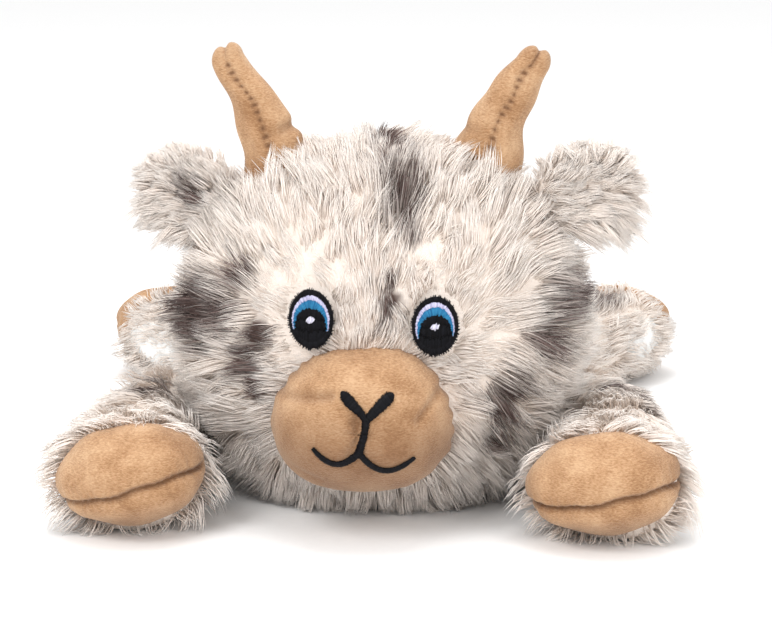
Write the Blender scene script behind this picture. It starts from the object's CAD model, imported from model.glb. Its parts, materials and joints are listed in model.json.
import json
import math

import bpy
import numpy as np
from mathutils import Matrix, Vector
from mathutils.bvhtree import BVHTree
from mathutils.kdtree import KDTree


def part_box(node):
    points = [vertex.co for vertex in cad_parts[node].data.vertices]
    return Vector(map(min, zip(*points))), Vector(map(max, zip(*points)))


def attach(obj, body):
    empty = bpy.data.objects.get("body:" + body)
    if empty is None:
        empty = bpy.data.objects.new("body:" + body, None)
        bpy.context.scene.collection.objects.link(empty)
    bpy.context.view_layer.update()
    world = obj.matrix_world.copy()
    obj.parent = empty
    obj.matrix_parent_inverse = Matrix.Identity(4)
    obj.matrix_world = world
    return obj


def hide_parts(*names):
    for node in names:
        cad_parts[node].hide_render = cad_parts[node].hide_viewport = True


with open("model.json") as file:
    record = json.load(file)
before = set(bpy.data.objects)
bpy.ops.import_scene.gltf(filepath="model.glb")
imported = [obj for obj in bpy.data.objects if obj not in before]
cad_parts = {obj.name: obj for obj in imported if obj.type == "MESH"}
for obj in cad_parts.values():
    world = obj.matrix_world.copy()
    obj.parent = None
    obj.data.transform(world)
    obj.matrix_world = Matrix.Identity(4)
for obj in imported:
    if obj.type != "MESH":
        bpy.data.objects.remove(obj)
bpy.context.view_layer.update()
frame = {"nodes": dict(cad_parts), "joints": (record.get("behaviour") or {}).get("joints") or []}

mm = 0.001  # lengths below are in millimetres, and meshes are in metres
sideSign = {"left": 1, "right": -1}  # the goat's own left is +X
chance = np.random.default_rng(11)
print("frame loaded")


# small helpers

def deselectAll():
    bpy.ops.object.select_all(action="DESELECT")


def nodesBox(*names):
    # lowest and highest corner of several CAD nodes
    boxes = [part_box(name) for name in names]
    low = np.min([list(box[0]) for box in boxes], axis=0) / mm
    high = np.max([list(box[1]) for box in boxes], axis=0) / mm
    return low, high


def jointPlace(name):
    found = next(joint for joint in frame["joints"] if joint["name"] == name)
    return np.array(found["pos_m"]) / mm


def getPoints(piece):
    flat = np.empty(len(piece.data.vertices) * 3)
    piece.data.vertices.foreach_get("co", flat)
    return flat.reshape(-1, 3)


def setPoints(piece, places):
    piece.data.vertices.foreach_set("co", (np.asarray(places) * mm).ravel())
    piece.data.update()


def unit(vectors):
    return vectors / np.maximum(np.linalg.norm(vectors, axis=-1, keepdims=True), 1e-9)


def ramp(value, start, end):
    # 0 before start, 1 after end, and smooth between
    share = np.clip((value - start) / (end - start), 0, 1)
    return share * share * (3 - 2 * share)


def bell(value, width):
    return np.exp(-(value / width) ** 2)


def waviness(places, size, seed):
    # smooth wandering between about -1 and 1, with bumps of this size
    draw = np.random.default_rng(seed)
    waves = draw.normal(size=(7, 3)) * 2.2 / size
    return np.sin(places @ waves.T + draw.uniform(0, 6.28, 7)).sum(1) / 3.2


def roundBall(name, detail=6):
    deselectAll()
    bpy.ops.mesh.primitive_ico_sphere_add(subdivisions=detail, radius=1)
    piece = bpy.context.object
    piece.name = piece.data.name = name
    return piece


def ringBall(name, segments, rings):
    deselectAll()
    bpy.ops.mesh.primitive_uv_sphere_add(segments=segments, ring_count=rings, radius=1)
    piece = bpy.context.object
    piece.name = piece.data.name = name
    return piece


def paintFold(piece, fold):
    # how dark the cloth gets in its seams and folds
    values = np.clip(fold, 0, 0.9).astype(np.float32)
    piece.data.attributes.new("fold", "FLOAT", "POINT").data.foreach_set("value", values)


def turnOutwards(piece):
    # a mirrored shape comes out inside out, so its faces are turned again
    deselectAll()
    piece.select_set(True)
    bpy.context.view_layer.objects.active = piece
    bpy.ops.object.mode_set(mode="EDIT")
    bpy.ops.mesh.select_all(action="SELECT")
    bpy.ops.mesh.normals_make_consistent(inside=False)
    bpy.ops.object.mode_set(mode="OBJECT")


def dress(piece, body, material, replaced=()):
    piece.data.materials.clear()
    piece.data.materials.append(material)
    piece.data.polygons.foreach_set("use_smooth", [True] * len(piece.data.polygons))
    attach(piece, body)
    if replaced:
        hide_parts(*replaced)
    return piece


# materials

def newMaterial(name):
    material = bpy.data.materials.new(name)
    material.use_nodes = True
    tree = material.node_tree
    return material, tree, tree.nodes["Principled BSDF"]


def link(tree, output, socket):
    tree.links.new(output, socket)


def addNode(tree, kind, **values):
    # plain settings are attributes, and names with a capital are input sockets
    node = tree.nodes.new(kind)
    for name, value in values.items():
        if name[0].isupper():
            node.inputs[name.replace("_", " ")].default_value = value
        else:
            setattr(node, name, value)
    return node


def mixColours(tree, share, first, second, blend="MIX"):
    # the mix node's three colour sockets have plain numbers for keys
    mix = addNode(tree, "ShaderNodeMix", data_type="RGBA", blend_type=blend)
    for key, value in ((0, share), (6, first), (7, second)):
        if isinstance(value, (int, float, tuple)):
            mix.inputs[key].default_value = value
        else:
            link(tree, value, mix.inputs[key])
    return mix.outputs[2]


def rampNode(tree, value, stops):
    node = addNode(tree, "ShaderNodeValToRGB")
    elements = node.color_ramp.elements
    while len(elements) < len(stops):
        elements.new(0.5)
    for element, (place, colour) in zip(elements, stops):
        element.position = place
        element.color = (*colour, 1)
    link(tree, value, node.inputs["Fac"])
    return node.outputs["Color"]


def makeNapGroup():
    # the short, slightly ribbed pile of velour: a tone mask and a height
    group = bpy.data.node_groups.new("velourNap", "ShaderNodeTree")
    face = group.interface
    face.new_socket("Grain", in_out="INPUT", socket_type="NodeSocketFloat")
    face.new_socket("Tone", in_out="OUTPUT", socket_type="NodeSocketFloat")
    face.new_socket("Height", in_out="OUTPUT", socket_type="NodeSocketFloat")
    enter = group.nodes.new("NodeGroupInput")
    leave = group.nodes.new("NodeGroupOutput")
    coords = group.nodes.new("ShaderNodeTexCoord")
    ribs = addNode(group, "ShaderNodeMapping", Scale=(0.55, 0.55, 1.6))
    link(group, coords.outputs["Object"], ribs.inputs["Vector"])
    pile = addNode(group, "ShaderNodeTexNoise", Detail=3.0, Roughness=0.65)
    link(group, ribs.outputs["Vector"], pile.inputs["Vector"])
    link(group, enter.outputs["Grain"], pile.inputs["Scale"])
    crush = addNode(group, "ShaderNodeTexNoise", Scale=75.0, Detail=2.0, Roughness=0.5)
    link(group, coords.outputs["Object"], crush.inputs["Vector"])
    tone = addNode(group, "ShaderNodeMix", data_type="FLOAT")
    tone.inputs[0].default_value = 0.45
    link(group, pile.outputs["Fac"], tone.inputs[2])
    link(group, crush.outputs["Fac"], tone.inputs[3])
    link(group, tone.outputs[0], leave.inputs["Tone"])
    link(group, pile.outputs["Fac"], leave.inputs["Height"])
    return group


def velourMaterial(name, settings):
    material, tree, shader = newMaterial(name)
    nap = addNode(tree, "ShaderNodeGroup", node_tree=napGroup, Grain=settings["grain"])
    colour = rampNode(tree, nap.outputs["Tone"], settings["stops"])
    # a shade that the mesh carries, deep in seams and folds
    fold = addNode(tree, "ShaderNodeAttribute", attribute_name="fold")
    shaded = mixColours(tree, fold.outputs["Fac"], colour, settings["deep"])
    link(tree, shaded, shader.inputs["Base Color"])
    bump = addNode(tree, "ShaderNodeBump", Strength=settings["bump"], Distance=0.0006)
    link(tree, nap.outputs["Height"], bump.inputs["Height"])
    link(tree, bump.outputs["Normal"], shader.inputs["Normal"])
    shader.inputs["Roughness"].default_value = 0.92
    shader.inputs["Specular IOR Level"].default_value = 0.15
    shader.inputs["Sheen Weight"].default_value = 0.35
    shader.inputs["Sheen Roughness"].default_value = 0.45
    shader.inputs["Sheen Tint"].default_value = (1.0, 0.86, 0.72, 1)
    return material


def furMaterial(name, settings):
    # strands: beige at the root, cream along them and paler at the tip, and dark where printed
    material, tree, shader = newMaterial(name)
    along = addNode(tree, "ShaderNodeAttribute", attribute_name="along").outputs["Fac"]
    tone = addNode(tree, "ShaderNodeAttribute", attribute_name="tone").outputs["Fac"]
    patch = addNode(tree, "ShaderNodeAttribute", attribute_name="patch").outputs["Fac"]
    pale = rampNode(tree, along, settings["pale"])
    tinted = mixColours(tree, 0.75, pale, rampNode(tree, tone, settings["tints"]), "MULTIPLY")
    dark = rampNode(tree, tone, settings["dark"])
    # the print is brushed onto the pile, so it is fainter at the roots
    reach = addNode(tree, "ShaderNodeMapRange", From_Min=0.0, From_Max=0.5, To_Min=0.55, To_Max=1.0)
    link(tree, along, reach.inputs["Value"])
    printed = addNode(tree, "ShaderNodeMath", operation="MULTIPLY")
    link(tree, patch, printed.inputs[0])
    link(tree, reach.outputs["Result"], printed.inputs[1])
    link(tree, mixColours(tree, printed.outputs[0], tinted, dark), shader.inputs["Base Color"])
    shader.inputs["Roughness"].default_value = 0.8
    shader.inputs["Specular IOR Level"].default_value = 0.1
    shader.inputs["Sheen Weight"].default_value = 0.1
    return material


def backingMaterial(name, settings):
    # the woven backing and dense underfur that shows between strands
    material, tree, shader = newMaterial(name)
    patch = addNode(tree, "ShaderNodeAttribute", attribute_name="patch").outputs["Fac"]
    coords = addNode(tree, "ShaderNodeTexCoord")
    fluff = addNode(tree, "ShaderNodeTexNoise", Scale=900.0, Detail=4.0, Roughness=0.7)
    link(tree, coords.outputs["Object"], fluff.inputs["Vector"])
    pale = rampNode(tree, fluff.outputs["Fac"], settings["pale"])
    link(tree, mixColours(tree, patch, pale, settings["dark"]), shader.inputs["Base Color"])
    bump = addNode(tree, "ShaderNodeBump", Strength=0.8, Distance=0.001)
    link(tree, fluff.outputs["Fac"], bump.inputs["Height"])
    link(tree, bump.outputs["Normal"], shader.inputs["Normal"])
    shader.inputs["Roughness"].default_value = 0.95
    shader.inputs["Specular IOR Level"].default_value = 0.1
    return material


def threadMaterial(name, stops, roughness):
    # rayon embroidery thread, with a twist and a shade for each stitch
    material, tree, shader = newMaterial(name)
    tone = addNode(tree, "ShaderNodeAttribute", attribute_name="tone").outputs["Fac"]
    link(tree, rampNode(tree, tone, stops), shader.inputs["Base Color"])
    coords = addNode(tree, "ShaderNodeTexCoord")
    twist = addNode(tree, "ShaderNodeTexNoise", Scale=5200.0, Detail=2.0)
    link(tree, coords.outputs["Object"], twist.inputs["Vector"])
    bump = addNode(tree, "ShaderNodeBump", Strength=0.35, Distance=0.0001)
    link(tree, twist.outputs["Fac"], bump.inputs["Height"])
    link(tree, bump.outputs["Normal"], shader.inputs["Normal"])
    shader.inputs["Roughness"].default_value = roughness
    shader.inputs["Specular IOR Level"].default_value = 0.12
    return material


def stuffingMaterial():
    # polyester fibre fill, hidden inside the covers
    material, tree, shader = newMaterial("fibreFill")
    coords = addNode(tree, "ShaderNodeTexCoord")
    fibres = addNode(tree, "ShaderNodeTexNoise", Scale=420.0, Detail=5.0, Roughness=0.75)
    link(tree, coords.outputs["Object"], fibres.inputs["Vector"])
    colour = rampNode(tree, fibres.outputs["Fac"], [(0.3, (0.72, 0.72, 0.71)), (0.7, (0.93, 0.93, 0.92))])
    link(tree, colour, shader.inputs["Base Color"])
    bump = addNode(tree, "ShaderNodeBump", Strength=0.7, Distance=0.001)
    link(tree, fibres.outputs["Fac"], bump.inputs["Height"])
    link(tree, bump.outputs["Normal"], shader.inputs["Normal"])
    shader.inputs["Roughness"].default_value = 0.9
    return material


velourLook = {
    "grain": 1500.0,
    "bump": 0.9,
    "stops": [(0.38, (0.31, 0.16, 0.075)), (0.5, (0.455, 0.262, 0.138)), (0.62, (0.58, 0.37, 0.218))],
    "deep": (0.12, 0.052, 0.026, 1),
}
furLook = {
    "pale": [(0.0, (0.88, 0.77, 0.68)), (0.4, (0.93, 0.855, 0.795)), (1.0, (0.95, 0.905, 0.865))],
    "tints": [(0.0, (0.94, 0.90, 0.87)), (0.25, (0.98, 0.96, 0.945)), (1.0, (1.0, 0.995, 0.99))],
    "dark": [(0.0, (0.045, 0.024, 0.019)), (0.6, (0.115, 0.070, 0.060)), (1.0, (0.30, 0.215, 0.195))],
}
backingLook = {
    "pale": [(0.3, (0.80, 0.70, 0.62)), (0.7, (0.88, 0.79, 0.72))],
    "dark": (0.10, 0.065, 0.055, 1),
}

napGroup = makeNapGroup()
velour = velourMaterial("tanVelour", velourLook)
fur = furMaterial("creamFur", furLook)
backing = backingMaterial("furBacking", backingLook)
fibreFill = stuffingMaterial()
threads = {
    "black": threadMaterial("blackThread", [(0.0, (0.001, 0.001, 0.0015)), (1.0, (0.007, 0.007, 0.010))], 0.5),
    "blue": threadMaterial("blueThread", [(0.0, (0.008, 0.085, 0.21)), (1.0, (0.035, 0.22, 0.40))], 0.5),
    "lilac": threadMaterial("lilacThread", [(0.0, (0.33, 0.31, 0.47)), (1.0, (0.62, 0.60, 0.76))], 0.5),
    "white": threadMaterial("whiteThread", [(0.0, (0.46, 0.44, 0.56)), (1.0, (0.80, 0.79, 0.87))], 0.5),
}
print("materials made")


# strands and threads, as meshes of many thin closed tubes

def meshFromTubes(name, paths, radii, outward, sides, attributes):
    # paths is tubes x rings x 3. The first ring is capped and the last point is the tip
    count, rings = paths.shape[0], paths.shape[1] - 1
    ahead = np.empty((count, rings, 3))
    ahead[:, 0] = paths[:, 1] - paths[:, 0]
    ahead[:, 1:] = paths[:, 2:] - paths[:, : rings - 1]
    ahead = unit(ahead)
    side = unit(np.cross(ahead, outward[:, None, :]))
    over = np.cross(side, ahead)
    angles = np.arange(sides) * 2 * np.pi / sides + np.pi / 2
    around = (
        np.cos(angles)[None, None, :, None] * side[:, :, None, :]
        + np.sin(angles)[None, None, :, None] * over[:, :, None, :]
    )
    ringPoints = paths[:, :rings, None, :] + around * radii[:, :, None, None]
    perTube = rings * sides + 1
    places = np.concatenate([ringPoints.reshape(count, rings * sides, 3), paths[:, -1:, :]], axis=1)
    corner, sizes, uvs = [], [], []
    corner += list(reversed(range(sides)))
    sizes.append(sides)
    uvs += [(k / sides, 0.0) for k in reversed(range(sides))]
    for ring in range(rings - 1):
        for k in range(sides):
            after = (k + 1) % sides
            corner += [ring * sides + k, ring * sides + after, (ring + 1) * sides + after, (ring + 1) * sides + k]
            low, high = ring / rings, (ring + 1) / rings
            uvs += [(k / sides, low), ((k + 1) / sides, low), ((k + 1) / sides, high), (k / sides, high)]
            sizes.append(4)
    for k in range(sides):
        corner += [(rings - 1) * sides + k, (rings - 1) * sides + (k + 1) % sides, rings * sides]
        low = (rings - 1) / rings
        uvs += [(k / sides, low), ((k + 1) / sides, low), ((k + 0.5) / sides, 1.0)]
        sizes.append(3)
    corner, sizes, uvs = np.array(corner), np.array(sizes), np.array(uvs)
    loops = (np.arange(count)[:, None] * perTube + corner).ravel()
    allSizes = np.tile(sizes, count)
    mesh = bpy.data.meshes.new(name)
    mesh.vertices.add(count * perTube)
    mesh.vertices.foreach_set("co", (places * mm).ravel())
    mesh.loops.add(len(loops))
    mesh.loops.foreach_set("vertex_index", loops)
    mesh.polygons.add(len(allSizes))
    mesh.polygons.foreach_set("loop_start", np.concatenate([[0], np.cumsum(allSizes)[:-1]]))
    mesh.polygons.foreach_set("use_smooth", np.ones(len(allSizes), bool))
    mesh.update(calc_edges=True)
    # each tube has its own cell of the bake's map
    across = math.ceil(math.sqrt(count))
    cell = np.stack([np.arange(count) % across, np.arange(count) // across], axis=1)
    spread = (cell[:, None, :] + 0.12 + 0.76 * uvs[None]) / across
    layer = mesh.uv_layers.new(name="OFBake")
    layer.data.foreach_set("uv", spread.ravel())
    lengths = np.concatenate([np.repeat(np.arange(rings) / rings, sides), [1.0]])
    attributes = {"along": np.tile(lengths, count), **{k: np.repeat(v, perTube) for k, v in attributes.items()}}
    for key, values in attributes.items():
        mesh.attributes.new(key, "FLOAT", "POINT").data.foreach_set("value", values.astype(np.float32))
    piece = bpy.data.objects.new(name, mesh)
    bpy.context.collection.objects.link(piece)
    return piece


def scatter(skin, count, weigh, draw):
    # roots spread over a skin, denser where weigh says so, and the skin's outward direction there
    mesh = skin.data
    mesh.calc_loop_triangles()
    triangles = np.empty(len(mesh.loop_triangles) * 3, np.int32)
    mesh.loop_triangles.foreach_get("vertices", triangles)
    triangles = triangles.reshape(-1, 3)
    places = getPoints(skin) / mm
    normals = np.empty(len(mesh.vertices) * 3)
    mesh.vertices.foreach_get("normal", normals)
    normals = normals.reshape(-1, 3)
    corners = places[triangles]
    areas = np.linalg.norm(np.cross(corners[:, 1] - corners[:, 0], corners[:, 2] - corners[:, 0]), axis=1) / 2
    weights = areas * weigh(corners.mean(1))
    picked = draw.choice(len(triangles), count, p=weights / weights.sum())
    first, second = draw.random(count), draw.random(count)
    over = first + second > 1
    first[over], second[over] = 1 - first[over], 1 - second[over]
    share = np.stack([1 - first - second, first, second], axis=1)[:, :, None]
    roots = (corners[picked] * share).sum(1)
    outward = unit((normals[triangles[picked]] * share).sum(1))
    return roots, outward


def turnAbout(vectors, axes, angles):
    cos, sin = np.cos(angles)[:, None], np.sin(angles)[:, None]
    along = (vectors * axes).sum(1, keepdims=True)
    return vectors * cos + np.cross(axes, vectors) * sin + axes * along * (1 - cos)


def bendPaths(roots, outward, comb, length, lift, droop, steps):
    # each strand leaves its root at its lift, then lies over towards its comb and hangs a little
    rise, fall = lift, lift * 0.35
    first = outward * np.sin(rise)[:, None] + comb * np.cos(rise)[:, None]
    last = outward * np.sin(fall)[:, None] + comb * np.cos(fall)[:, None]
    last = last + np.array([0, 0, -1.0]) * droop[:, None]
    t = np.asarray(steps)[None, :, None]
    reach = length[:, None, None]
    return roots[:, None] + reach * (first[:, None] * (t - t * t / 2) + last[:, None] * t * t / 2)


longSteps, shortSteps = (0.0, 0.34, 0.68, 1.0), (0.0, 0.5, 1.0)


def raiseSkin(skin, under):
    # the short underfur fills the pile up to some height over the cloth
    mesh = skin.data
    normals = np.empty(len(mesh.vertices) * 3)
    mesh.vertices.foreach_get("normal", normals)
    places = getPoints(skin) / mm
    places = places + normals.reshape(-1, 3) * under(places)[:, None]
    places[:, 2] = np.maximum(places[:, 2], 0.6)
    setPoints(skin, places)


def growFur(name, body, skins, rule, look, pieces=1):
    # locks of strands over one or more skins, cut into pieces for the size of a mesh
    draw = np.random.default_rng(look["seed"])
    roots, outward = [], []
    total = sum(share for skin, share in skins)
    for skin, share in skins:
        found = scatter(skin, int(look["strands"] * share / total), look["weigh"], draw)
        roots.append(found[0])
        outward.append(found[1])
    roots, outward = np.concatenate(roots), np.concatenate(outward)
    keep = look["keep"](roots)
    roots, outward = roots[keep], outward[keep]
    count = len(roots)
    # every so many roots, one leads a lock
    leaders = draw.choice(count, max(1, count // look["perLock"]), replace=False)
    tree = KDTree(len(leaders))
    for number, leader in enumerate(leaders):
        tree.insert(roots[leader], number)
    tree.balance()
    lock = np.array([tree.find(root)[1] for root in roots])
    comb, length, lift, droop = rule(roots, outward)
    lockTurn = draw.normal(0, look["stray"], len(leaders))[lock]
    ownTurn = draw.normal(0, look["stray"] * 0.4, count)
    lockLength = draw.uniform(0.72, 1.15, len(leaders))[lock]
    lockLift = draw.normal(0, 0.15, len(leaders))[lock]
    ownComb = turnAbout(comb, outward, lockTurn + ownTurn)
    ownLength = length * lockLength * draw.uniform(0.72, 1.05, count)
    ownLift = np.clip(lift + lockLift + draw.normal(0, 0.10, count), 0.06, 1.4)
    steps = look["steps"]
    own = bendPaths(roots, outward, ownComb, ownLength, ownLift, droop, steps)
    lead = leaders[lock]
    leadComb = turnAbout(comb[lead], outward[lead], lockTurn)
    leadLift = np.clip(lift[lead] + lockLift, 0.06, 1.4)
    leadPath = bendPaths(roots[lead], outward[lead], leadComb, length[lead] * lockLength, leadLift, droop[lead], steps)
    # strands draw together towards their lock's tip
    t = np.asarray(steps)[None, :, None]
    loose = roots[:, None] - roots[lead][:, None]
    gathered = leadPath + loose * (1 - 0.8 * t) + (own - leadPath - loose) * 0.25
    pull = look["clump"] * t ** 0.7 * draw.uniform(0.5, 1.0, count)[:, None, None]
    paths = own * (1 - pull) + gathered * pull
    # the lock waves as one, and each strand a little by itself
    sway = draw.normal(0, 1, (len(leaders), 3))[lock][:, None] * np.sin(t * 3.4) * 0.6
    paths = paths + sway + draw.normal(0, 0.14, (count, len(steps), 3)) * t
    paths[:, :, 2] = np.maximum(paths[:, :, 2], 0.35 + draw.random(count)[:, None] * 0.5)
    thick = look["width"] * draw.uniform(0.75, 1.2, count)
    taper = (1.0, 0.92, 0.62) if len(steps) == 4 else (1.0, 0.8)
    radii = thick[:, None] / 2 * np.array(taper)[None]
    middle = paths[:, -2]
    lockTone = draw.random(len(leaders))[lock]
    tone = np.clip(0.5 * lockTone + 0.5 * draw.random(count), 0, 1)
    dark = look["dark"](middle + draw.normal(0, 1.5, (count, 3)))
    dark = np.clip(dark + draw.normal(0, 0.14, count) * (dark < 0.9), 0, 1) * (dark > 0.04)
    order = np.argsort(np.arctan2(roots[:, 0] - roots[:, 0].mean(), roots[:, 2] - roots[:, 2].mean() + 1e-6))
    for number, part in enumerate(np.array_split(order, pieces), start=1):
        label = name if pieces == 1 else f"{name}_{number}"
        attributes = {"tone": tone[part], "patch": dark[part]}
        dress(meshFromTubes(label, paths[part], radii[part], outward[part], 3, attributes), body, fur)
    for skin, share in skins:
        raiseSkin(skin, look["under"])
    print(name, "has", count, "strands")


def paintPatch(skin, dark):
    values = dark(getPoints(skin) / mm)
    skin.data.attributes.new("patch", "FLOAT", "POINT").data.foreach_set("value", values.astype(np.float32))


def blots(centre, half, marks):
    # soft dark marks: a direction from the centre, a radius and a strength each
    directions = unit(np.array([mark[0] for mark in marks]))
    radii = np.array([mark[1] for mark in marks])
    strengths = np.array([mark[2] for mark in marks])

    def dark(places):
        relative = unit((places - centre) / half)
        gaps = np.linalg.norm(relative[:, None] - directions[None], axis=2)
        worn = waviness(places, 10, 5) * 0.25 + waviness(places, 4, 6) * 0.12
        shade = (strengths * np.exp(-((gaps / radii) ** 2))).max(1)
        return np.clip((shade + worn * ramp(shade, 0.1, 0.6) - 0.2) * 1.9, 0, 1)

    return dark


# the head

headNodes = ("head_crown_gusset", "head_side_panel_left", "head_side_panel_right", "head_chin_panel")
headLow, headHigh = nodesBox(*headNodes)
headHalf = np.array([(headHigh[0] - headLow[0]) / 2, (headHigh[1] - headLow[1]) / 2, (headHigh[2] + 1) / 2])
headMiddle = np.array([0.0, (headLow[1] + headHigh[1]) / 2, headHigh[2] - headHalf[2]])
muzzleLow, muzzleHigh = nodesBox("muzzle_cover")
head = {
    "inset": 2.3,  # the backing lies under the cloth's outer face and over the stuffing
    "pile": 8.0,  # how far the pile's middle stands off the cloth
    "fill": 0.7,
}
headMarks = [
    ((-0.71, -0.61, 0.35), 0.13, 0.8), ((-0.90, -0.42, 0.10), 0.19, 1.2), ((-0.78, -0.58, 0.16), 0.16, 1.0),
    ((-0.60, -0.79, 0.05), 0.12, 1.0), ((-0.66, -0.73, -0.12), 0.11, 1.0), ((-0.62, -0.74, -0.27), 0.10, 0.85),
    ((-0.66, -0.57, -0.50), 0.09, 0.7), ((0.92, -0.32, 0.14), 0.17, 0.85), ((0.87, -0.48, -0.02), 0.13, 0.9),
    ((0.96, -0.14, 0.20), 0.16, 0.8), ((0.74, -0.62, -0.20), 0.09, 0.7), ((0.66, -0.66, -0.34), 0.11, 1.0),
    ((0.64, -0.55, -0.54), 0.09, 0.9), ((0.03, -0.08, 0.99), 0.13, 0.9), ((0.10, -0.36, 0.92), 0.12, 0.95),
    ((0.14, -0.56, 0.81), 0.11, 1.1), ((0.15, -0.70, 0.70), 0.09, 1.15), ((0.21, -0.78, 0.60), 0.065, 0.8),
    ((0.07, -0.93, 0.36), 0.055, 0.85), ((0.10, -0.96, 0.26), 0.06, 1.0), ((0.07, -0.98, 0.14), 0.05, 0.7),
    ((0.35, 0.75, 0.55), 0.24, 0.95), ((-0.55, 0.55, 0.60), 0.20, 0.85), ((0.55, 0.80, -0.15), 0.20, 0.85),
    ((-0.75, 0.60, -0.20), 0.22, 0.9), ((-0.15, 0.95, 0.10), 0.13, 0.7),
]
headDark = blots(headMiddle, headHalf + head["pile"], headMarks)


def makeHead():
    skin = roundBall("head_backing", 6)
    sphere = getPoints(skin)
    places = headMiddle + sphere * (headHalf - head["inset"])
    places = places + sphere * waviness(places, 40, 3)[:, None] * 0.5
    places[:, 2] = np.maximum(places[:, 2], 1.0)
    setPoints(skin, places)
    paintPatch(skin, headDark)
    return dress(skin, "head", backing, headNodes)


headSkin = makeHead()

muzzle = {
    "depth": 27.0,
    "fill": 0.85,
    "lobe": 1.8,  # how far each side of the lip bulges
    "lip": 1.5,  # how deep the lip line pulls in
    "sag": 3.0,  # the filled dome hangs a little lower than its cover's cut
    "shift": -3.4,  # and a little to the goat's right
    "wall": 3.5,
    "shade": 0.6,
}
noseLevel = (muzzleLow[2] + muzzleHigh[2]) / 2
muzzleMiddle = np.array([0.0, muzzleLow[1] + muzzle["depth"], noseLevel - muzzle["sag"]])
muzzleHalf = (muzzleHigh - muzzleLow) / 2 + np.array([0.8, 0, muzzle["sag"]])
muzzleHalf[1] = muzzle["depth"]


def creaseDepth(across, up, start, end, width):
    # 1 on a straight crease between two places, and 0 well away from it
    start, end = np.array(start), np.array(end)
    place = np.stack([across, up], axis=1)
    share = np.clip(((place - start) @ (end - start)) / ((end - start) @ (end - start)), 0, 1)
    gap = np.linalg.norm(place - (start + share[:, None] * (end - start)), axis=1)
    return bell(gap, width) * np.sin(np.clip(share * 0.8 + 0.2, 0, 1) * np.pi / 2 * (1 - 0.5 * share))


def muzzleShape(sphere):
    # where the muzzle's cloth lies for each direction from its middle, and how deep in a fold
    across, up = sphere[:, 0] * muzzleHalf[0], sphere[:, 2] * muzzleHalf[2]
    squarer = 1 + 0.05 * np.sin(2 * np.arctan2(up, across)) ** 2
    stem = across + np.clip((6 - up) * 0.16, 0, 3.2)
    lip = bell(stem, 3.4) * ramp(up, -14, -8) * (1 - ramp(up, 5, 11))
    lobes = bell(across - 15, 12) * bell(up + 5, 12) + bell(across + 15, 12) * bell(up + 5, 12)
    brow = bell(up - 15, 7) * bell(across, 17)
    foldLeft = creaseDepth(across, up, (-31, 10), (-11, 12.5), 2.0)
    foldRight = creaseDepth(across, up, (31, 14), (22, 4), 1.8)
    chinFold = creaseDepth(across, up, (-24, -14), (-14, -19), 1.6)
    gathers = np.sin(np.arctan2(up, across) * 26 + 2 * np.sin(np.arctan2(up, across) * 5))
    rim = ramp(sphere[:, 1], -0.35, 0.1)
    lift = muzzle["lobe"] * lobes + 0.9 * brow - muzzle["lip"] * lip
    lift = lift - 2.4 * foldLeft - 1.9 * foldRight - 1.2 * chinFold + 0.5 * gathers * rim
    lift = lift + 0.5 * waviness(sphere * muzzleHalf, 16, 8)
    front = sphere[:, 1] < 0.3
    narrower = 1 - 0.13 * ramp(sphere[:, 2], -0.1, 1.0) + 0.02 * bell(sphere[:, 2] + 0.35, 0.4)
    places = sphere * muzzleHalf * squarer[:, None]
    places[:, 0] = places[:, 0] * narrower + muzzle["shift"] * (1 - 0.5 * ramp(sphere[:, 2], 0, 1))
    places = muzzleMiddle + places
    places = places + sphere * (lift * front)[:, None]
    fold = np.clip(0.55 * foldLeft + 0.5 * foldRight + 0.35 * chinFold + 0.5 * lip, 0, 0.8)
    # the nap lies downwards, so the lower cheeks look darker
    fold = np.maximum(fold, muzzle["shade"] * (1 - ramp(up, -12, 13)) * ramp(-sphere[:, 1], -0.2, 0.2))
    return places, np.maximum(fold, 0.5 * ramp(sphere[:, 1], -0.25, 0.0))


def makeMuzzle():
    piece = roundBall("muzzle_velour", 7)
    places, fold = muzzleShape(getPoints(piece))
    setPoints(piece, places)
    paintFold(piece, fold)
    return dress(piece, "head", velour, ("muzzle_cover",))


def makeMuzzleFill():
    # the stuffing follows the cover from inside
    piece = roundBall("muzzle_fill", 5)
    places, fold = muzzleShape(getPoints(piece))
    spokes = places - muzzleMiddle
    reach = np.linalg.norm(spokes, axis=1)
    setPoints(piece, muzzleMiddle + spokes * (1 - muzzle["wall"] / reach)[:, None])
    return dress(piece, "head", fibreFill, ("muzzle_stuffing",))


muzzlePiece = makeMuzzle()
makeMuzzleFill()
print("head and muzzle made")


# embroidery

def surfaceOf(piece):
    tree = BVHTree.FromObject(piece, bpy.context.evaluated_depsgraph_get())

    def place(across, up):
        # the frontmost point of the piece at this place across and up
        hit = tree.ray_cast(Vector((across * mm, -1.0, up * mm)), Vector((0, 1, 0)))
        return np.array(hit[0]) / mm if hit[0] else None

    return place


def stitchMesh(name, body, material, stitches, surface, radius, crown, base, replaced=()):
    # each stitch is a thread from one place to another, raised in the middle
    paths = []
    for start, end in stitches:
        line = []
        for share in (0.0, 0.12, 0.5, 0.88, 1.0):
            across = start[0] + (end[0] - start[0]) * share
            up = start[1] + (end[1] - start[1]) * share
            spot = surface(across, up)
            if spot is None:
                break
            height = base + crown * math.sin(math.pi * share) ** 0.6 if 0 < share < 1 else base - 0.35
            line.append(spot + np.array([0, -height, 0]))
        if len(line) == 5:
            paths.append(line)
    paths = np.array(paths)
    radii = np.full((len(paths), 4), radius)
    radii[:, 0] = radius * 0.5
    tone = chance.random(len(paths))
    front = np.tile([0.0, -1.0, 0.0], (len(paths), 1))
    piece = meshFromTubes(name, paths, radii, front, 5, {"tone": tone})
    return dress(piece, body, material, replaced)


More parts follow.
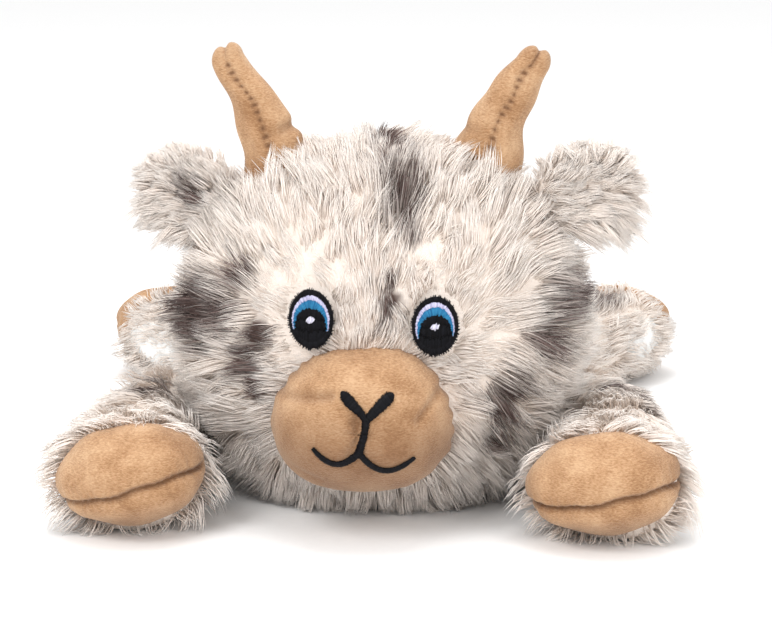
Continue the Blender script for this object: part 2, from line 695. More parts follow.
def satinLine(line, widths, pitch=0.3):
    # stitches across a line on the surface, as wide as it says at each place
    line, widths = np.array(line, float), np.array(widths, float)
    steps = np.linalg.norm(np.diff(line, axis=0), axis=1)
    travel = np.concatenate([[0], np.cumsum(steps)])
    places = np.arange(0, travel[-1], pitch)
    across = np.interp(places, travel, line[:, 0])
    up = np.interp(places, travel, line[:, 1])
    wide = np.interp(places, travel, widths)
    headingX, headingZ = np.gradient(across), np.gradient(up)
    size = np.hypot(headingX, headingZ)
    normalX, normalZ = -headingZ / size, headingX / size
    ragged = chance.uniform(0.88, 1.14, len(places))
    half = wide * ragged
    starts = np.stack([across - normalX * half, up - normalZ * half], axis=1)
    ends = np.stack([across + normalX * half, up + normalZ * half], axis=1)
    return list(zip(starts, ends))


# middle lines from the nose's junction, in millimetres across and above the nose's level
stitchLines = {
    "nose": (
        ([(-9.0, 12.4), (-6.2, 9.3), (-3.1, 6.1), (-0.2, 2.6)], [1.6, 2.0, 1.75, 1.35]),
        ([(9.7, 11.7), (6.8, 9.2), (3.6, 6.1), (0.2, 2.6)], [1.9, 2.3, 1.85, 1.3]),
    ),
    "mouth": (
        ([(0.0, 3.4), (-0.5, -2.3), (-1.6, -6.5), (-2.6, -10.3)], [1.5, 1.35, 1.35, 1.65]),
        ([(-2.4, -9.8), (-6.7, -13.2), (-10.3, -14.3), (-13.9, -13.1), (-17.0, -10.9), (-19.5, -8.2)],
         [1.3, 1.3, 1.2, 1.1, 0.95, 0.6]),
        ([(-2.6, -9.8), (0.5, -13.1), (3.6, -15.6), (7.2, -16.5), (10.8, -15.8), (14.4, -13.9), (17.5, -11.8)],
         [1.4, 1.3, 1.25, 1.2, 1.1, 0.95, 0.6]),
    ),
}


def roundLine(points, widths, count=30):
    # a smooth line through a few points, and its half width along it
    points = np.array(points, float)
    knots = np.linspace(0, 1, len(points))
    share = np.linspace(0, 1, count)
    degree = min(4, len(points) - 1)
    line = np.stack([np.polyval(np.polyfit(knots, points[:, k], degree), share) for k in (0, 1)], axis=1)
    return line, np.interp(share, knots, widths)


def makeNose():
    place = surfaceOf(muzzlePiece)
    for name, crown in (("nose", 1.0), ("mouth", 0.8)):
        stitches = []
        for points, widths in stitchLines[name]:
            line, half = roundLine(points, widths)
            if name == "nose":
                half = half * np.sqrt(np.clip(np.linspace(0, 1, 30) / 0.12, 0.05, 1))
            stitches += satinLine(line + [0, noseLevel], half, 0.24)
        stitchMesh(
            f"{name}_stitches", "head", threads["black"], stitches, place, 0.25, crown, 0.35,
            (f"{name}_embroidery",),
        )


makeNose()

eye = {
    "raise": 2.4,  # the patch rides on the pressed pile
    "backing": 1.0,
    "whiteOuter": 0.80,
    "whiteBand": 0.15,
    "blueBand": 0.27,
    "threadRadius": 0.19,
}


def headSurface(across, up, out=0.0):
    # the head's own oval, some way out from the cloth
    half = headHalf + out
    inside = 1 - (across / half[0]) ** 2 - ((up - headMiddle[2]) / half[2]) ** 2
    return np.array([across, headMiddle[1] - half[1] * math.sqrt(max(inside, 0)), up])


def makeEye(side):
    low, high = nodesBox(f"eye_{side}_black_satin")
    middle = (low + high) / 2
    halfWide, halfTall = (high[0] - low[0]) / 2, (high[2] - low[2]) / 2
    tilt = math.radians(2.7) * (1 if side == "left" else 0)

    def spot(share, angle):
        x, z = halfWide * share * math.cos(angle), halfTall * share * math.sin(angle)
        turned = (x * math.cos(tilt) - z * math.sin(tilt), x * math.sin(tilt) + z * math.cos(tilt))
        return (middle[0] + turned[0], middle[2] + turned[1])

    def surface(across, up):
        return headSurface(across, up, eye["raise"])

    def crescent(angle):
        return max(0.0, (math.sin(angle) + 0.45) / 1.45) ** 0.8

    pad = roundBall(f"eye_{side}_backing", 5)
    sphere = getPoints(pad)
    places = []
    for x, y, z in sphere:
        share, angle = math.hypot(x, z) * 0.97, math.atan2(z, x)
        across, up = spot(share, angle)
        places.append(surface(across, up) + np.array([0, y * eye["backing"] + 0.3, 0]))
    setPoints(pad, places)
    pad.data.attributes.new("tone", "FLOAT", "POINT")
    dress(pad, "head", threads["black"])

    white, blue, black = [], [], []
    for angle in np.arange(0, 2 * math.pi, 0.033):
        amount = crescent(angle)
        outer = 1.0 + chance.uniform(-0.05, 0.07)
        inner = eye["whiteOuter"] + chance.uniform(-0.03, 0.03)
        if amount < 0.02:
            inner = 0.72
        black.append((spot(inner - 0.02, angle), spot(outer, angle + chance.uniform(-0.02, 0.02))))
        if amount > 0.02:
            whiteEnd = eye["whiteOuter"] - eye["whiteBand"] * amount + chance.uniform(-0.03, 0.03)
            white.append((spot(whiteEnd, angle), spot(eye["whiteOuter"] + chance.uniform(-0.02, 0.03), angle)))
            blueEnd = whiteEnd - eye["blueBand"] * amount + chance.uniform(-0.03, 0.03)
            blue.append((spot(blueEnd, angle), spot(whiteEnd + 0.02, angle)))
    # the pupil's stitches run up and down, from the rim below to the blue above
    for x in np.arange(-0.78, 0.79, 0.28 / halfWide):
        rim = 0.80 * math.sqrt(max(0, 1 - (x / 0.82) ** 2))
        top = 0.44 * math.sqrt(max(0, 1 - (x / 0.70) ** 2)) if abs(x) < 0.70 else -0.1
        cuts = np.linspace(-rim, top, 4) + np.array([0, *chance.uniform(-0.06, 0.06, 2), 0])
        for start, end in zip(cuts[:-1], cuts[1:]):
            if end - start > 0.05:
                first = (middle[0] + x * halfWide, middle[2] + start * halfTall)
                black.append((first, (first[0] + 0.1, middle[2] + end * halfTall)))
    glint = []
    for step in np.arange(-1.35, 1.36, 0.32):
        half = 1.5 * math.sqrt(max(0.05, 1 - (step / 1.5) ** 2)) * chance.uniform(0.6, 1.15)
        glint.append(((middle[0] + step - 0.3, middle[2] - half), (middle[0] + step + 0.3, middle[2] + half)))
    radius = eye["threadRadius"]
    for colour, slot, name, stitches, base, node in (
        ("black", "thread_black", "black_stitches", black, 0.55, "black_satin"),
        ("lilac", "thread_white", "lilac_stitches", white, 0.75, "iris_white"),
        ("blue", "thread_blue", "blue_stitches", blue, 0.7, "iris_blue"),
        ("white", "thread_white", "glint_stitches", glint, 1.0, "glint"),
    ):
        stitchMesh(
            f"eye_{side}_{name}", "head", threads[colour], stitches, surface, radius, 0.35, base,
            (f"eye_{side}_{node}",),
        )


for side in sideSign:
    makeEye(side)
print("embroidery made")


# horns, ears and hooves

horn = {
    "fill": 0.8,
    "sink": 7.0,  # how far its root goes into the head
    "curl": 3.6,  # how far its middle stands in from a straight line
    "flat": 0.86,
    "seam": 1.2,
    "stitch": 3.1,
    "rootRadius": {"left": 16.6, "right": 15.6},
    "tipRadius": {"left": 6.6, "right": 5.7},
    "dent": {"left": 0.6, "right": 1.7},  # how deep the filling has creased on the inner side
    "notch": 1.5,
}


def makeHorn(side):
    sign = sideSign[side]
    low, high = nodesBox(f"horn_{side}_outer_panel", f"horn_{side}_inner_panel")
    root = jointPlace(f"horn_{side}_sway")
    rootRadius, tipRadius = horn["rootRadius"][side], horn["tipRadius"][side]
    outermost = max(abs(low[0]), abs(high[0]))
    tip = np.array([sign * (outermost - tipRadius), root[1], high[2] - tipRadius])
    axis = unit(tip - root)
    start = root - axis * horn["sink"]
    length = np.linalg.norm(tip - start)
    acrossWay = np.array([axis[2], 0, -axis[0]])
    piece = ringBall(f"horn_{side}_velour", 96, 120)
    sphere = getPoints(piece)
    share = np.arccos(np.clip(-sphere[:, 2], -1, 1)) / math.pi
    around = np.arctan2(-sphere[:, 1], sphere[:, 0])  # a quarter turn is the front
    travel = np.clip((share - 0.08) / 0.74, 0, 1)
    rootTurn = np.clip(share / 0.08, 0, 1) * math.pi / 2
    tipTurn = np.clip((share - 0.82) / 0.18, 0, 1) * math.pi / 2
    closing = np.sin(rootTurn) * np.cos(tipTurn)
    x, y = np.cos(around), np.sin(around)
    radius = rootRadius + (tipRadius - rootRadius) * travel ** 0.85
    seamGap = np.abs(np.abs(around) - math.pi / 2) * radius  # from the front seam or the back one
    frontSide = np.where(y > 0, 1.0, 0.7)
    groove = bell(seamGap - 0.35 * np.sin(travel * 23), 1.1) * ramp(travel, 0.02, 0.1) * frontSide
    dots = 0.5 + 0.5 * np.cos(travel * length / horn["stitch"] * 2 * math.pi + 1.3 * np.sin(travel * 9))
    puff = 0.8 * bell(seamGap - 4.5, 3.0)
    dent = horn["dent"][side] * bell(travel - 0.36, 0.05) * ramp(-sign * x, -0.1, 0.9)
    radius = (radius - groove * horn["seam"] * (0.5 + 0.6 * dots) + puff - dent) * closing
    # the seam draws the tip in between two small lobes
    lobes = np.sin(tipTurn) * (horn["notch"] * np.abs(x) * np.cos(tipTurn) - 1.1 * bell(x * np.cos(tipTurn), 0.22))
    cap = tipRadius * np.sin(tipTurn) + lobes - 1.5 * np.cos(rootTurn)
    bow = -horn["curl"] * np.sin(travel * math.pi) * sign
    places = (
        start
        + axis * (travel * length + cap)[:, None]
        + acrossWay * (x * radius + bow)[:, None]
        + np.array([0, -1.0, 0]) * (y * radius * horn["flat"])[:, None]
    )
    places = places + acrossWay * (waviness(places, 12, 4) * 0.6)[:, None]
    setPoints(piece, places)
    fold = groove * (0.2 + 0.7 * dots ** 2) + dent * 0.18 + 0.45 * bell(travel, 0.12) + 0.3 * np.sin(tipTurn)
    paintFold(piece, fold)
    nodes = (f"horn_{side}_outer_panel", f"horn_{side}_inner_panel", f"horn_{side}_stuffing")
    return dress(piece, f"horn_{side}", velour, nodes)


for side in sideSign:
    makeHorn(side)

hoof = {
    "fill": 0.8,
    "seamDepth": 2.3,
    "seamWidth": 1.15,
    "seamDrop": 2.0,  # the seam lies a little below the middle
    "roll": {"front_left": 12.0, "front_right": 17.0, "hind_left": 4.0, "hind_right": -6.0},
}


def makeHoof(leg):
    low, high = nodesBox(f"{leg}_hoof_upper_panel", f"{leg}_hoof_lower_panel")
    forward = -1 if leg.startswith("front") else 1
    front = low[1] if forward < 0 else high[1]
    half = np.array([28.4, 21.0, 18.4])
    middle = np.array([(low[0] + high[0]) / 2, front - forward * half[1], (low[2] + high[2]) / 2])
    piece = roundBall(f"{leg}_hoof_velour", 6)
    sphere = getPoints(piece)
    roll = math.radians(hoof["roll"][leg])
    # across and up in the hoof's own tilt
    across = (sphere[:, 0] * math.cos(roll) + sphere[:, 2] * math.sin(roll)) * half[0]
    up = (-sphere[:, 0] * math.sin(roll) + sphere[:, 2] * math.cos(roll)) * half[2]
    wander = 0.8 * np.sin(across / 7) + 0.4 * np.sin(across / 2.6)
    seam = bell(up + hoof["seamDrop"] - wander, hoof["seamWidth"]) * ramp(forward * sphere[:, 1], -0.3, 0.1)
    shoulder = bell(up + hoof["seamDrop"] - 7, 6) + 0.6 * bell(up + hoof["seamDrop"] + 6, 4)
    gathers = 0.3 * np.sin(across * 1.9 + np.sin(across)) * bell(up + hoof["seamDrop"], 5)
    lift = 1.2 * shoulder - hoof["seamDepth"] * seam + gathers + 0.7 * waviness(sphere * half, 15, 12)
    stretch = np.array([1.0, 1.0, 1.0])
    places = sphere * half * stretch
    places[:, 0] = np.sign(places[:, 0]) * half[0] * np.abs(sphere[:, 0]) ** 0.92
    places = places + sphere * lift[:, None]
    turned = np.array([
        places[:, 0] * math.cos(roll) - places[:, 2] * math.sin(roll) * 0,
        places[:, 1],
        places[:, 2] + places[:, 0] * math.tan(roll) * 0.22,
    ]).T
    places = middle + turned
    places[:, 2] = np.maximum(places[:, 2], 1.0)
    setPoints(piece, places)
    fold = 0.75 * seam + 0.5 * ramp(-up, 6, 17) + 0.3 * ramp(np.abs(across), 20, 28)
    paintFold(piece, fold)
    nodes = tuple(f"{leg}_hoof_{part}" for part in ("upper_panel", "lower_panel", "stuffing"))
    return dress(piece, f"{leg}_leg", velour, nodes), middle, half


hooves = {leg: makeHoof(leg) for leg in ("front_left", "front_right", "hind_left", "hind_right")}
print("horns and hooves made")


# legs

legLook = {
    "front": {"bend": 159.4, "start": 44.5, "end": -14.0, "swing": 1},
    "hind": {"bend": 68.0, "start": -78.0, "end": -6.0, "swing": -1},
    "turn": {"front_left": 0.0, "front_right": 0.8, "hind_left": -3.0, "hind_right": 14.0},
    "inset": 2.3,
    "fill": 0.65,
    "radius": 21.2,
    "ball": 22.0,
    "cuffWide": 28.5,
    "cuffTall": 22.5,
    "cuffLength": 45.0,
}


def legFrame(leg, travel):
    # the leg's middle line this far from its pivot, and the way it points there
    pair, side = leg.split("_")
    sign, shape = sideSign[side], legLook[pair]
    pivot = jointPlace(f"{leg}_leg_swing")
    start = math.radians(shape["start"] + shape["swing"] * legLook["turn"][leg])
    way = math.copysign(1, shape["end"] - shape["start"])
    angle = start + way * travel / shape["bend"]
    x = pivot[0] + sign * shape["bend"] * (np.cos(angle) - math.cos(start))
    y = pivot[1] + shape["bend"] * (np.sin(angle) - math.sin(start))
    heading = np.stack([-sign * way * np.sin(angle), way * np.cos(angle), angle * 0], axis=-1)
    return np.stack([x, y, angle * 0 + pivot[2]], axis=-1), heading


def makeLeg(leg):
    pair, side = leg.split("_")
    shape = legLook[pair]
    inset = legLook["inset"]
    sweep = abs(math.radians(shape["end"] - shape["start"]))
    span = shape["bend"] * sweep
    knots = np.array([
        (-legLook["ball"] + inset, 0, 0), (-0.86 * legLook["ball"], 11, 11), (-0.5 * legLook["ball"], 17.5, 17.5),
        (0, legLook["ball"] - inset, legLook["ball"] - inset), (span * 0.3, legLook["radius"] - inset,) * 1 + (
            legLook["radius"] - inset,),
        (span - legLook["cuffLength"] * 0.75, legLook["radius"] - inset, legLook["radius"] - inset),
        (span - 14, legLook["cuffWide"] - inset - 1.5, legLook["cuffTall"] - inset - 0.5),
        (span - 3, legLook["cuffWide"] - inset, legLook["cuffTall"] - inset),
        (span, legLook["cuffWide"] - inset - 3, legLook["cuffTall"] - inset - 3), (span + 1, 0, 0),
    ])
    piece = ringBall(f"{leg}_leg_backing", 56, 72)
    sphere = getPoints(piece)
    share = np.arccos(np.clip(-sphere[:, 2], -1, 1)) / math.pi
    around = np.arctan2(sphere[:, 1], sphere[:, 0])
    gaps = np.concatenate([[0], np.cumsum(np.linalg.norm(np.diff(knots, axis=0), axis=1))])
    spot = share * gaps[-1]
    travel = np.interp(spot, gaps, knots[:, 0])
    wide = np.interp(spot, gaps, knots[:, 1])
    tall = np.interp(spot, gaps, knots[:, 2])
    line, heading = legFrame(leg, travel)
    across = np.stack([-heading[:, 1], heading[:, 0], heading[:, 0] * 0], axis=1)
    places = line + across * (np.cos(around) * wide)[:, None]
    places[:, 2] += np.sin(around) * tall
    places[:, 2] = np.maximum(places[:, 2], 0.9)
    setPoints(piece, places)
    turnOutwards(piece)
    paintPatch(piece, coatDark)
    return dress(piece, f"{leg}_leg", backing, (f"{leg}_leg_cover",))


coatMarks = [  # place, radius and strength, in millimetres, on the body and legs
    ((-52, -178, 6), 8, 1.1), ((-108, -184, 8), 13, 0.55), ((-92, -132, 44), 16, 0.55), ((100, -120, 40), 15, 0.7),
    ((60, -50, 40), 18, 0.8), ((-64, -66, 44), 17, 0.9), ((20, 8, 72), 22, 1.0), ((-26, 40, 66), 18, 0.9),
    ((-40, -14, 56), 15, 0.8), ((44, 34, 50), 16, 0.85), ((84, 70, 40), 17, 0.8), ((-98, 66, 34), 20, 0.9),
    ((8, 74, 60), 13, 0.85), ((118, 96, 20), 10, 0.7), ((-72, 40, 44), 12, 0.8), ((-10, -58, 76), 14, 0.8),
]


def coatDark(places):
    centres = np.array([mark[0] for mark in coatMarks], float)
    radii = np.array([mark[1] for mark in coatMarks], float)
    strengths = np.array([mark[2] for mark in coatMarks])
    gaps = np.linalg.norm(places[:, None] - centres[None], axis=2)
    shade = (strengths * np.exp(-((gaps / radii) ** 2))).max(1)
    worn = waviness(places, 10, 15) * 0.25 + waviness(places, 4, 16) * 0.12
    return np.clip((shade + worn * ramp(shade, 0.1, 0.6) - 0.2) * 1.9, 0, 1)


legSkins = {leg: makeLeg(leg) for leg in hooves}


# body, neck, tail and ears

bodyNodes = ("body_back_panel_left", "body_back_panel_right", "body_belly_panel")
bodyLow, bodyHigh = nodesBox(*bodyNodes)
bodyHalf = np.array([(bodyHigh[0] - bodyLow[0]) / 2, (bodyHigh[1] - bodyLow[1]) / 2, 38.0])
bodyMiddle = np.array([0.0, (bodyLow[1] + bodyHigh[1]) / 2, bodyHigh[2] - bodyHalf[2]])


def makeOval(name, middle, half, body, nodes, floor=0.9, dark=None):
    skin = roundBall(name, 6)
    places = middle + getPoints(skin) * half
    places[:, 2] = np.maximum(places[:, 2], floor)
    setPoints(skin, places)
    paintPatch(skin, dark or coatDark)
    return dress(skin, body, backing, nodes)


bodySkin = makeOval("body_backing", bodyMiddle, bodyHalf - 2.3, "body", bodyNodes)
neckPlace = jointPlace("head_nod")
neckSkin = makeOval("neck_backing", neckPlace, np.full(3, 27.6), "body", ("neck_band",))
tailLow, tailHigh = nodesBox("tail_upper_panel", "tail_lower_panel")
tailMiddle = (tailLow + tailHigh) / 2


def makeTail():
    skin = roundBall("tail_backing", 5)
    sphere = getPoints(skin)
    lift = math.radians(24)
    local = sphere * np.array([9.5, 18.5, 5.5])
    places = np.stack([
        local[:, 0],
        local[:, 1] * math.cos(lift) - local[:, 2] * math.sin(lift),
        local[:, 1] * math.sin(lift) + local[:, 2] * math.cos(lift),
    ], axis=1)
    setPoints(skin, tailMiddle + places)
    paintPatch(skin, coatDark)
    return dress(skin, "tail", backing, ("tail_upper_panel", "tail_lower_panel"))


tailSkin = makeTail()

ear = {
    "lift": 34.0,
    "half": (17.0, 14.0, 4.0),
    "inward": {"left": 3.0, "right": 8.0},
    "cup": 5.0,  # how far its rim comes forward
    "fill": 0.3,
    "liningReach": {"left": 5.5, "right": 1.0},  # how far the lining shows past the fur
}


def earAxes(side):
    lift = math.radians(ear["lift"])
    out = np.array([sideSign[side] * math.cos(lift), 0, math.sin(lift)])
    wide = np.array([-sideSign[side] * math.sin(lift), 0, math.cos(lift)])
    return out, wide


def earMiddle(side):
    low, high = nodesBox(f"ear_{side}_fur_panel", f"ear_{side}_lining")
    return (low + high) / 2 - earAxes(side)[0] * ear["inward"][side]


def makeEar(side):
    out, wide = earAxes(side)
    middle = earMiddle(side)
    made = []
    for name, node, back, reach, material, slot in (
        ("backing", "fur_panel", 0.0, 0.0, backing, "fur"),
        ("lining_velour", "lining", 2.6, ear["liningReach"][side], velour, "velour"),
    ):
        piece = roundBall(f"ear_{side}_{name}", 6)
        sphere = getPoints(piece)
        half = np.array(ear["half"])
        length = sphere[:, 0] * half[0] + np.maximum(sphere[:, 0], 0) * reach
        leaf = 1 - 0.22 * np.maximum(sphere[:, 0], 0) ** 2
        across = sphere[:, 2] * half[1] * leaf
        rim = np.hypot(sphere[:, 0], sphere[:, 2])
        depth = back + sphere[:, 1] * half[2] * (0.55 if back else 1.0) - ear["cup"] * rim ** 2
        places = middle + out * length[:, None] + wide * across[:, None] + np.array([0, 1.0, 0]) * depth[:, None]
        setPoints(piece, places)
        turnOutwards(piece)
        if material is backing:
            paintPatch(piece, coatDark)
        else:
            fold = 0.35 * bell(across, 2.0) + 0.2 * ramp(rim, 0.85, 1.0)
            paintFold(piece, fold)
        made.append(dress(piece, f"ear_{side}", material, (f"ear_{side}_{node}",)))
    return made


ears = {side: makeEar(side) for side in sideSign}
print("legs, body, tail and ears made")


# fur

facePoint = np.array([0.0, muzzleLow[1] + 12, muzzleMiddle[2] + 13])
eyeBoxes = [nodesBox(f"eye_{side}_black_satin") for side in sideSign]


def eyeGap(places):
    # how far outside the nearest eye's rim, in millimetres
    gaps = []
    for low, high in eyeBoxes:
        middle, half = (low + high) / 2, (high - low) / 2
        share = np.hypot((places[:, 0] - middle[0]) / half[0], (places[:, 2] - middle[2]) / half[2])
        gaps.append((share - 1) * 9.5)
    return np.where(places[:, 1] < headMiddle[1], np.minimum(*gaps), 99)


def muzzleGap(places):
    share = np.hypot(places[:, 0] / muzzleHalf[0], (places[:, 2] - muzzleMiddle[2]) / muzzleHalf[2])
    return np.where(places[:, 1] < headMiddle[1], (share - 1) * 28, 99)


def flatten(vectors, outward):
    # the part of each vector that lies along the skin
    return unit(vectors - (vectors * outward).sum(1, keepdims=True) * outward)


def headRule(places, outward):
    away = unit(places - facePoint)
    for low, high in eyeBoxes:
        middle = (low + high) / 2
        gap = places - headSurface(middle[0], middle[2])
        distance = np.linalg.norm(gap, axis=1, keepdims=True)
        away = away + 0.9 * unit(gap) * np.exp(-((distance / 17) ** 2))
    comb = flatten(away, outward)
    swirl = 0.40 * waviness(places, 42, 21) + 0.16 * waviness(places, 18, 22)
    comb = turnAbout(comb, outward, swirl)
    eyes, nose = eyeGap(places), muzzleGap(places)
    length = 7.5 + 16.0 * np.minimum(ramp(eyes, 0, 30), 0.35 + 0.65 * ramp(nose, 0, 26))
    length = length * (1 - 0.25 * ramp(places[:, 1], headMiddle[1] - 5, headMiddle[1] + 30))
    length = length * (1 - 0.3 * ramp(places[:, 2], 128, 142))
    facing = ramp(-outward[:, 1], 0.35, 0.95)
    # low on the chin and the cheeks it hangs free and spreads on the floor
    hanging = (1 - ramp(places[:, 2], 8, 46)) * ramp(-places[:, 1], 120, 150)
    length = length * (1 + 0.28 * hanging)
    lift = 0.58 - 0.32 * facing + 0.62 * hanging
    droop = 0.24 + 0.10 * hanging
    return comb, length, lift, droop


def headKeep(places):
    clear = (eyeGap(places) > 0.6) & (muzzleGap(places) > -3.0)
    for side in sideSign:
        root = jointPlace(f"horn_{side}_sway")
        clear &= np.linalg.norm(places - root, axis=1) > 11
    return clear & ((places[:, 2] > 2.0) | (chance.random(len(places)) < 0.25))


def headWeigh(places):
    back = ramp(places[:, 1], headMiddle[1] + 5, headMiddle[1] + 40)
    return 1.0 - 0.45 * back


def headUnder(places):
    # the face's pile lies flat, so its underfur is low
    clear = np.minimum(ramp(eyeGap(places), 1, 10), ramp(muzzleGap(places), -1, 9))
    return clear * (0.4 + 1.0 * ramp(places[:, 1], headMiddle[1] - 48, headMiddle[1] - 20))


headFur = {
    "under": headUnder, "seed": 31, "strands": 51000, "perLock": 30, "stray": 0.20, "clump": 0.66, "width": 0.41,
    "weigh": headWeigh, "keep": headKeep, "dark": headDark, "steps": longSteps,
}
growFur("head_fur", "head", [(headSkin, 1)], headRule, headFur, 6)


def legRule(leg):
    pair, side = leg.split("_")
    middle, half = hooves[leg][1:]
    forward = np.array([0, -1.0 if pair == "front" else 1.0, 0])
    toHoof = middle - jointPlace(f"{leg}_leg_swing")

    def rule(places, outward):
        near = ramp(places @ forward, middle @ forward - 34, middle @ forward - 6)
        down = unit(np.tile(toHoof, (len(places), 1)))
        comb = flatten(down + 0.5 * forward, outward)
        radial = places - middle
        radial[:, 1] = 0
        radial = unit(radial)
        collar = unit(radial * 1.0 + forward * 0.45)
        comb = unit(comb * (1 - near)[:, None] + flatten(collar + outward * 0.1, outward) * near[:, None])
        comb = turnAbout(comb, outward, 0.4 * waviness(places, 30, 33) + 0.2 * waviness(places, 13, 34))
        length = (19.0 if pair == "front" else 14.5) - 2.0 * near
        length = length * (0.7 + 0.3 * ramp(places[:, 2], 2, 16))
        lift = 0.62 + 0.25 * near
        droop = np.full(len(places), 0.25)
        return comb, length, lift, droop

    return rule


def legKeep(leg):
    middle, half = hooves[leg][1:]

    def keep(places):
        share = np.linalg.norm((places - middle) / (half * 0.93), axis=1)
        low = (places[:, 2] > 1.6) | (chance.random(len(places)) < 0.2)
        return (share > 1) & low

    return keep


def legUnder(leg):
    middle, half = hooves[leg][1:]
    return lambda places: 0.9 * ramp(np.linalg.norm((places - middle) / half, axis=1), 1.0, 1.5)


def evenWeigh(places):
    return np.ones(len(places))


def evenUnder(height):
    return lambda places: np.full(len(places), height)


for number, leg in enumerate(legSkins):
    legFur = {
        "seed": 41 + number, "strands": 9800 if leg.startswith("front") else 7400, "perLock": 22, "stray": 0.34,
        "clump": 0.7, "width": 0.48, "weigh": evenWeigh, "keep": legKeep(leg), "dark": coatDark,
        "steps": longSteps if leg.startswith("front") else shortSteps, "under": legUnder(leg),
    }
    growFur(f"{leg}_leg_fur", f"{leg}_leg", [(legSkins[leg], 1)], legRule(leg), legFur, 2)


def bodyRule(places, outward):
    comb = flatten(np.tile([0, 1.0, -0.25], (len(places), 1)), outward)
    comb = turnAbout(comb, outward, 0.45 * waviness(places, 34, 51) + 0.2 * waviness(places, 13, 52))
    length = 18.5 * (0.65 + 0.35 * ramp(places[:, 2], 2, 18))
    return comb, length, np.full(len(places), 0.62), np.full(len(places), 0.2)


def bodyKeep(places):
    return (places[:, 2] > 1.6) | (chance.random(len(places)) < 0.2)


bodyFur = {
    "seed": 61, "strands": 12500, "perLock": 22, "stray": 0.34, "clump": 0.7, "width": 0.48,
    "weigh": evenWeigh, "keep": bodyKeep, "dark": coatDark, "steps": shortSteps, "under": evenUnder(1.0),
}
growFur("body_fur", "body", [(bodySkin, 4), (neckSkin, 1)], bodyRule, bodyFur, 2)


def tailRule(places, outward):
    comb = flatten(np.tile([0, 1.0, 0.2], (len(places), 1)), outward)
    return comb, np.full(len(places), 11.0), np.full(len(places), 0.55), np.full(len(places), 0.2)


tailFur = {
    "seed": 71, "strands": 2200, "perLock": 20, "stray": 0.3, "clump": 0.6, "width": 0.48,
    "weigh": evenWeigh, "keep": lambda places: places[:, 2] > 0, "dark": coatDark, "steps": shortSteps,
    "under": evenUnder(0.6),
}
growFur("tail_fur", "tail", [(tailSkin, 1)], tailRule, tailFur)


def earRule(side):
    out, wide = earAxes(side)
    middle = earMiddle(side)

    def rule(places, outward):
        across = (places - middle) @ wide
        way = out[None] * 1.0 + wide[None] * (across / 14)[:, None]
        comb = flatten(way + outward * 0.02, outward)
        comb = turnAbout(comb, outward, 0.4 * waviness(places, 18, 81))
        # the ear's fur hangs over its lower edge
        length = 12.0 + 3.0 * ramp(-across, -4, 14) + (4.0 if side == "left" else 0.0) * ramp(-across, 0, 14)
        return comb, length, np.full(len(places), 0.5), 0.3 + 0.25 * ramp(-across, -4, 14)

    return rule


def earKeep(side):
    middle = earMiddle(side)

    def keep(places):
        return places[:, 1] < middle[1] - 1.0

    return keep


def earUnder(side):
    # only in front, clear of the lining
    middle = earMiddle(side)
    return lambda places: 0.6 * ramp(middle[1] - places[:, 1], 0.0, 1.5)


def earDark(side):
    out, wide = earAxes(side)
    middle = earMiddle(side)
    spot = middle + out * 2 + np.array([0, -8, 0])
    edge = middle - wide * 17 + out * 6

    def dark(places):
        front = np.exp(-((np.linalg.norm((places - spot) * (1, 0.4, 1), axis=1) / 7.5) ** 2))
        low = 0.85 * np.exp(-((np.linalg.norm(places - edge, axis=1) / 8.0) ** 2))
        shade = front if side == "right" else low
        return np.clip((shade + 0.2 * waviness(places, 5, 85) * ramp(shade, 0.1, 0.5) - 0.25) * 1.5, 0, 1)

    return dark


for number, side in enumerate(sideSign):
    earFur = {
        "seed": 91 + number, "strands": 7400, "perLock": 22, "stray": 0.3, "clump": 0.7, "width": 0.43,
        "weigh": evenWeigh, "keep": earKeep(side), "dark": earDark(side), "steps": longSteps,
        "under": earUnder(side),
    }
    growFur(f"ear_{side}_fur", f"ear_{side}", [(ears[side][0], 1)], earRule(side), earFur)
print("fur grown")


# the stuffing stays inside its covers, as fibre fill

for name, node in frame["nodes"].items():
    if name.endswith("_stuffing") and not node.hide_render:
        node.data.materials.clear()
        node.data.materials.append(fibreFill)


# floor, light and camera

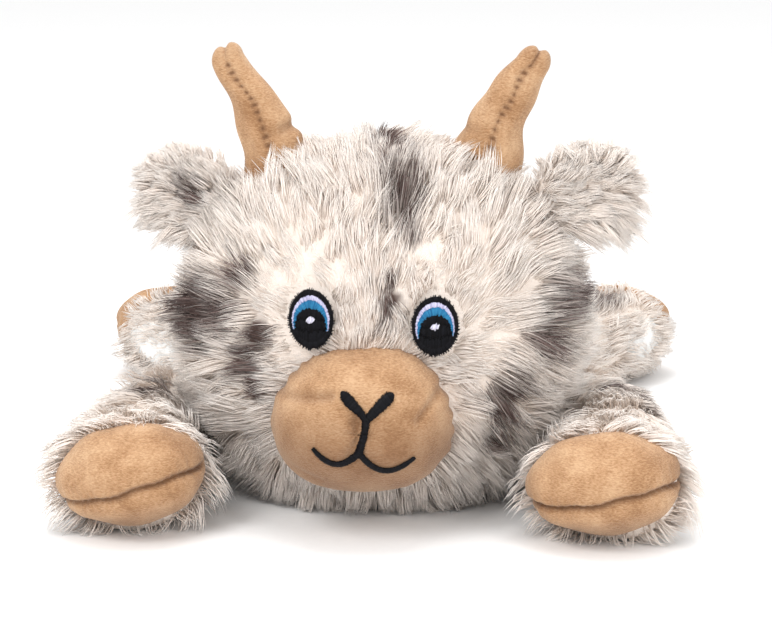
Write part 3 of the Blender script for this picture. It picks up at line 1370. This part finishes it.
def makeFloor():
    deselectAll()
    bpy.ops.mesh.primitive_plane_add(size=6)
    floor = bpy.context.object
    floor.name = "floor"
    material, tree, shader = newMaterial("paleFloor")
    coords = addNode(tree, "ShaderNodeTexCoord")
    paper = addNode(tree, "ShaderNodeTexNoise", Scale=300.0, Detail=2.0)
    link(tree, coords.outputs["Object"], paper.inputs["Vector"])
    colour = rampNode(tree, paper.outputs["Fac"], [(0.3, (0.93, 0.93, 0.93)), (0.7, (0.95, 0.95, 0.95))])
    link(tree, colour, shader.inputs["Base Color"])
    shader.inputs["Roughness"].default_value = 0.9
    floor.data.materials.append(material)


def makeLight(name, place, size, power, aim):
    data = bpy.data.lights.new(name, "AREA")
    data.shape = "DISK"
    data.size, data.energy = size, power
    lamp = bpy.data.objects.new(name, data)
    lamp.location = place
    lamp.rotation_euler = (Vector(aim) - Vector(place)).to_track_quat("-Z", "Y").to_euler()
    bpy.context.collection.objects.link(lamp)


view = {
    "azimuth": 3.75,
    "elevation": 11.8,
    "distance": 900.0,
    "lens": 110.4,
    "aim": (3.6, -25.0, 6.5),  # from the head's middle
}


def makeCamera():
    azimuth, elevation = math.radians(view["azimuth"]), math.radians(view["elevation"])
    ahead = Vector((
        -math.sin(azimuth) * math.cos(elevation), math.cos(azimuth) * math.cos(elevation), -math.sin(elevation)
    ))
    aim = (Vector(headMiddle) + Vector(view["aim"])) * mm
    data = bpy.data.cameras.new("mainCamera")
    data.lens, data.sensor_width = view["lens"], 36.0
    camera = bpy.data.objects.new("mainCamera", data)
    camera.location = aim - ahead * view["distance"] * mm
    camera.rotation_euler = ahead.to_track_quat("-Z", "Y").to_euler()
    bpy.context.collection.objects.link(camera)
    bpy.context.scene.camera = camera


def makeWorld():
    world = bpy.data.worlds.new("studio")
    world.use_nodes = True
    world.node_tree.nodes["Background"].inputs["Color"].default_value = (1, 1, 1, 1)
    world.node_tree.nodes["Background"].inputs["Strength"].default_value = 1.0
    bpy.context.scene.world = world


makeFloor()
makeWorld()
makeLight("keyLight", (-0.55, -1.0, 1.05), 0.7, 8.0, (0, -0.13, 0.07))
makeLight("fillLight", (0.9, -0.9, 0.7), 0.9, 4.0, (0, -0.13, 0.07))
makeLight("topLight", (0.0, 0.1, 1.3), 0.9, 8.0, (0, -0.1, 0.05))
makeCamera()
bpy.context.scene.view_settings.view_transform = "Standard"
print("floor, light and camera set")
